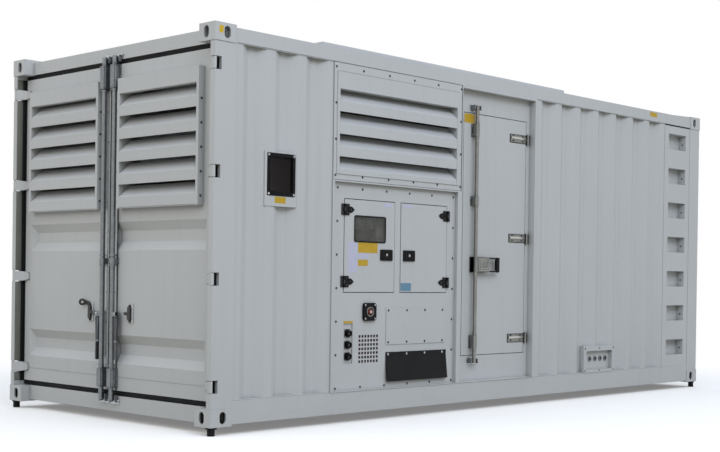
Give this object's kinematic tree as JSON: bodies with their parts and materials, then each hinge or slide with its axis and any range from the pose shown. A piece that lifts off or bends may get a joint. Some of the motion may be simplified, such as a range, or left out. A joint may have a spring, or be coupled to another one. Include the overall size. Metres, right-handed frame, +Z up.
{
  "type": "containerized gas generator",
  "caption": "Gas generator housing built as a steel freight container with louvred double doors, control cabinet, side door, ladder panel and roof hatch.",
  "frame": {"origin": "centre of the container in plan, on the ground under the support blocks", "axes": "+X along the length away from the louvred double doors, -Y towards the side with the control cabinet, +Z up"},
  "size_m": [6.058, 2.438, 2.667],
  "materials": {
    "white_paint": "satin",
    "dark_floor": "matt",
    "black_rubber": "matt",
    "black_plastic": "matt",
    "zinc_steel": "galvanised",
    "stainless": "brushed",
    "window_glass": "clear",
    "cabinet_grey": "satin"
  },
  "bodies": {
    "container": {"support_feet": "black_rubber", "bottom_corner_castings": "white_paint", "top_corner_castings": "white_paint", "door_end_posts": "white_paint", "blank_end_posts": "white_paint", "bottom_side_rails": "white_paint", "top_side_rails": "white_paint", "door_header": "white_paint", "door_sill": "white_paint", "blank_end_rails": "white_paint", "floor_deck": "dark_floor", "floor_cross_members": "white_paint", "roof_panel": "white_paint", "roof_hatch": "white_paint", "wall_front_left": "white_paint", "wall_front_right": "white_paint", "wall_back": "white_paint", "end_wall": "white_paint", "intake_louvre": "white_paint", "back_louvre": "white_paint", "control_plate": "white_paint", "control_cabinet": "cabinet_grey", "cover_plate": "white_paint", "cable_flap": "black_rubber", "power_connectors": "black_plastic", "emergency_stop": "black_plastic", "inspection_window": "black_plastic", "personnel_reveal": "white_paint", "personnel_panel": "white_paint", "personnel_stop": "white_paint", "terminal_box": "white_paint", "ladder_panel": "white_paint", "rod_keepers": "zinc_steel", "hinge_halves": "stainless"},
    "cargo_door_right": {"cargo_leaf_right": "white_paint", "cargo_louvre_right": "white_paint", "cargo_seal_right": "black_rubber", "cargo_hinges_right": "white_paint", "cargo_fittings_right": "zinc_steel"},
    "cargo_door_left": {"cargo_leaf_left": "white_paint", "cargo_louvre_left": "white_paint", "cargo_seal_left": "black_rubber", "cargo_hinges_left": "white_paint", "cargo_fittings_left": "zinc_steel"},
    "lock_rod_right": {"cargo_rod_right": "zinc_steel"},
    "lock_rod_left": {"cargo_rod_left": "zinc_steel"},
    "lock_handle_right": {"cargo_handle_right": "zinc_steel"},
    "lock_handle_left": {"cargo_handle_left": "zinc_steel"},
    "personnel_door": {"personnel_leaf": "white_paint", "personnel_fittings": "stainless"},
    "personnel_lock": {"personnel_rod": "stainless", "personnel_lever": "stainless"},
    "control_door_left": {"control_door_left": "white_paint", "control_window": "window_glass", "control_fittings_left": "black_plastic"},
    "control_door_right": {"control_door_right": "white_paint", "control_fittings_right": "black_plastic"}
  },
  "joints": [
    {"name": "cargo_door_right_hinge", "type": "hinge", "parent": "container", "child": "cargo_door_right", "pos_m": [-3.015, -1.205, 1.355], "axis": [0, 0, 1], "range_deg": [0, 250]},
    {"name": "cargo_door_left_hinge", "type": "hinge", "parent": "container", "child": "cargo_door_left", "pos_m": [-3.015, 1.205, 1.355], "axis": [0, 0, -1], "range_deg": [0, 250]},
    {"name": "lock_rod_right_turn", "type": "hinge", "parent": "cargo_door_right", "child": "lock_rod_right", "pos_m": [-2.987, -0.062, 1.355], "axis": [0, 0, -1], "range_deg": [0, 90]},
    {"name": "lock_rod_left_turn", "type": "hinge", "parent": "cargo_door_left", "child": "lock_rod_left", "pos_m": [-2.987, 0.062, 1.355], "axis": [0, 0, 1], "range_deg": [0, 90]},
    {"name": "lock_handle_right_lift", "type": "hinge", "parent": "lock_rod_right", "child": "lock_handle_right", "pos_m": [-2.987, -0.112, 0.75], "axis": [-1, 0, 0], "range_deg": [0, 90]},
    {"name": "lock_handle_left_lift", "type": "hinge", "parent": "lock_rod_left", "child": "lock_handle_left", "pos_m": [-2.987, 0.112, 0.75], "axis": [1, 0, 0], "range_deg": [0, 90]},
    {"name": "personnel_door_hinge", "type": "hinge", "parent": "container", "child": "personnel_door", "pos_m": [0.3055, -1.173, 1.355], "axis": [0, 0, 1], "range_deg": [0, 120]},
    {"name": "personnel_lock_turn", "type": "hinge", "parent": "personnel_door", "child": "personnel_lock", "pos_m": [-0.386, -1.199, 1.355], "axis": [0, 0, -1], "range_deg": [0, 90]},
    {"name": "control_door_left_hinge", "type": "hinge", "parent": "container", "child": "control_door_left", "pos_m": [-1.834, -1.199, 1.254], "axis": [0, 0, -1], "range_deg": [0, 95]},
    {"name": "control_door_right_hinge", "type": "hinge", "parent": "container", "child": "control_door_right", "pos_m": [-0.724, -1.199, 1.254], "axis": [0, 0, 1], "range_deg": [0, 95]}
  ]
}
